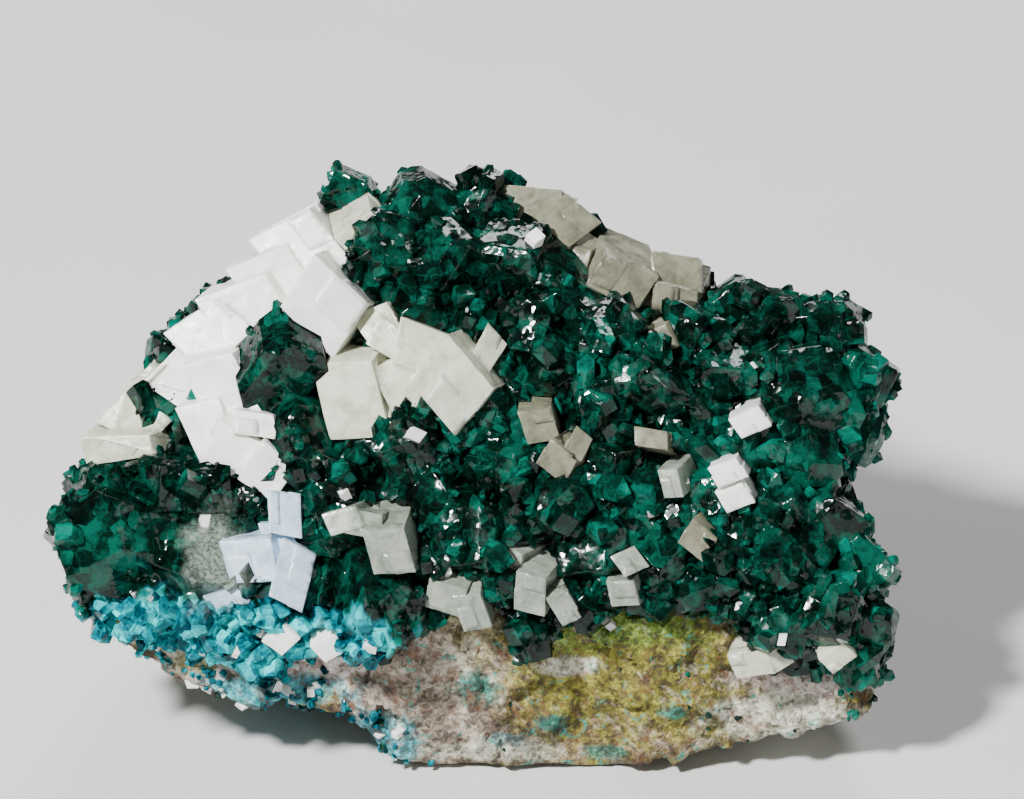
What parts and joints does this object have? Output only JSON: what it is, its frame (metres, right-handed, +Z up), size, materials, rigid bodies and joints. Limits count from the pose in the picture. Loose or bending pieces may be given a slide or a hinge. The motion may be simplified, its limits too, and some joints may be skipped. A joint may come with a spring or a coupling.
{
  "type": "dioptase specimen",
  "caption": "Hand specimen of dark green dioptase crystals with white calcite rhombs on brown rock matrix, standing on its flat underside.",
  "frame": {"origin": "middle of the rock's flat underside, on the surface it stands on", "axes": "+X right along the specimen's length, -Y towards the side with the crystals, +Z up"},
  "size_m": [0.0806, 0.0506, 0.0491],
  "materials": {
    "rock": "rough, limonite-stained",
    "dioptase": "vitreous",
    "calcite": "satin, milky"
  },
  "bodies": {
    "root": {"matrix_rock": "rock", "dioptase_crust": "dioptase", "calcite_upper_left_mass": "calcite", "calcite_left_lobe": "calcite", "calcite_peak_rhomb": "calcite", "calcite_middle_cluster": "calcite", "calcite_crest_cluster": "calcite", "calcite_shoulder_blocks": "calcite", "calcite_shoulder_chip": "calcite", "calcite_saddle_rhomb": "calcite", "calcite_twin_rhomb": "calcite", "calcite_mirror_rhomb": "calcite", "calcite_stepped_stack": "calcite", "calcite_peg": "calcite", "calcite_grey_rhomb": "calcite", "calcite_grey_wedge": "calcite", "calcite_lower_left_cluster": "calcite", "calcite_centre_rhomb": "calcite", "calcite_blade": "calcite", "calcite_low_cubes": "calcite", "calcite_pale_patch": "calcite", "calcite_strip_rhomb": "calcite", "calcite_strip_wedge": "calcite", "calcite_right_foot": "calcite", "calcite_right_foot_chip": "calcite"}
  },
  "joints": []
}
